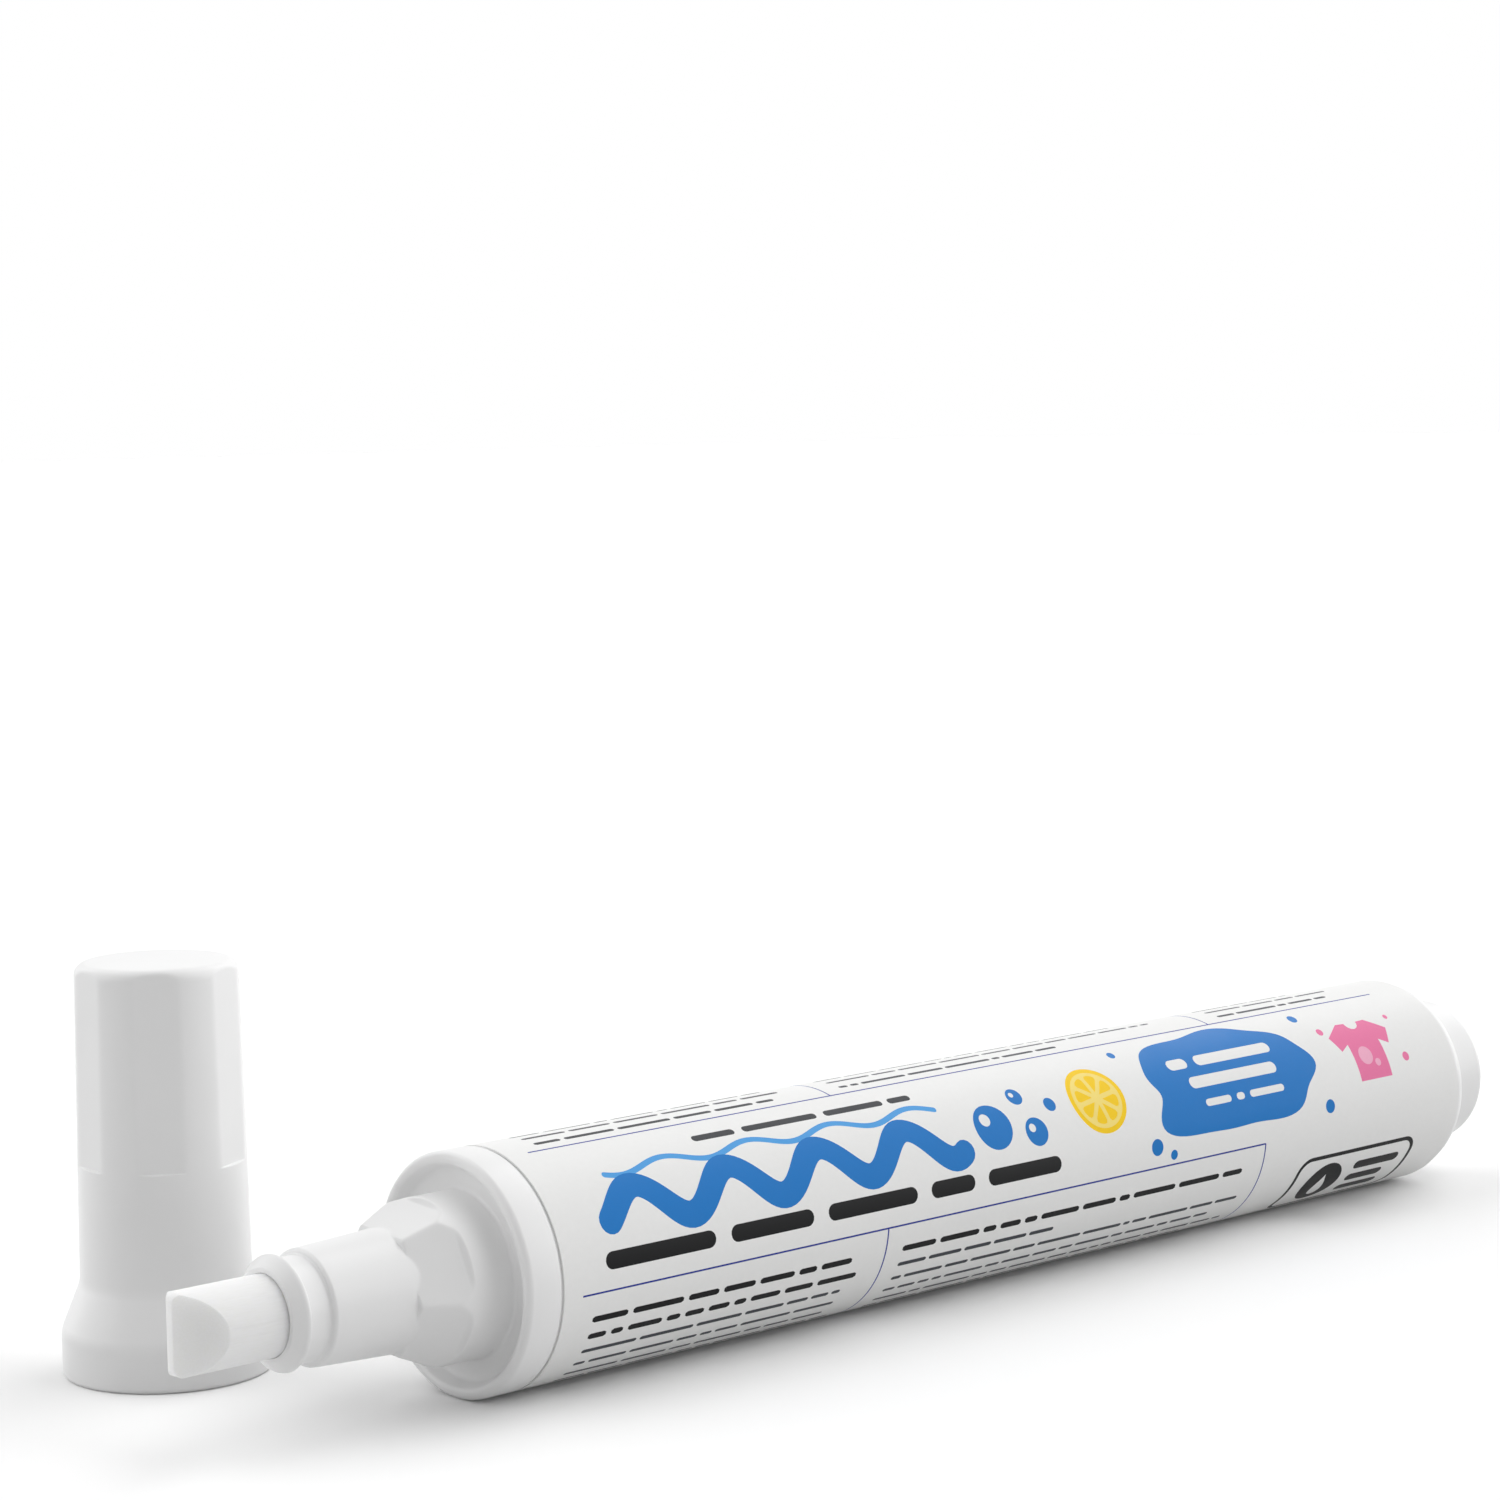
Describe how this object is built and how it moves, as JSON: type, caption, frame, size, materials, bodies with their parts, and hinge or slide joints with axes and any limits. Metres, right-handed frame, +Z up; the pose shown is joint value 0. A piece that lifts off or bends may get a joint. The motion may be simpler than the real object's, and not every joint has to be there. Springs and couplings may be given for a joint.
{
  "type": "stain remover pen",
  "caption": "Felt-nib stain remover pen lying uncapped, with a press-to-flow valve, a fluid barrel, a tail plug and its cap standing beside it.",
  "frame": {"origin": "middle of the bottom of the bounding box, on the surface that the pen and the cap rest on", "axes": "+Z up; +X along the pen's axis from the nib to the tail; the cap stands on the +Y side"},
  "size_m": [0.1368, 0.0394, 0.0308],
  "materials": {
    "barrel_plastic": "moulded polypropylene, satin",
    "label_film": "printed wrap label, satin film",
    "nose_plastic": "moulded polypropylene, satin",
    "cap_plastic": "moulded polypropylene, satin",
    "nib_fibre": "dense bonded fibre, matt",
    "valve_plastic": "natural polyethylene, matt",
    "spring_steel": "drawn stainless wire",
    "seal_rubber": "moulded elastomer",
    "fluid": "clear watery liquid"
  },
  "bodies": {
    "pen": {"barrel": "barrel_plastic", "label_wrap": "label_film", "end_plug": "barrel_plastic", "cleaning_fluid": "fluid", "nose_section": "nose_plastic", "valve_spring": "spring_steel", "valve_seal": "seal_rubber", "valve_housing": "valve_plastic"},
    "nib_and_valve": {"nib": "nib_fibre", "valve_stem": "valve_plastic"},
    "cap": {"cap_shell": "cap_plastic", "cap_inner_seal": "valve_plastic"}
  },
  "joints": [
    {"name": "nib_press", "type": "slide", "parent": "pen", "child": "nib_and_valve", "axis": [1, 0, 0], "range_m": [0, 0.0015], "stiffness_N_per_m": 400, "springref_m": -0.002, "deforming": ["valve_spring"]},
    {"name": "cap_lift", "type": "slide", "parent": "pen", "child": "cap", "axis": [0, 0, 1], "range_m": [0, 0.06]}
  ]
}
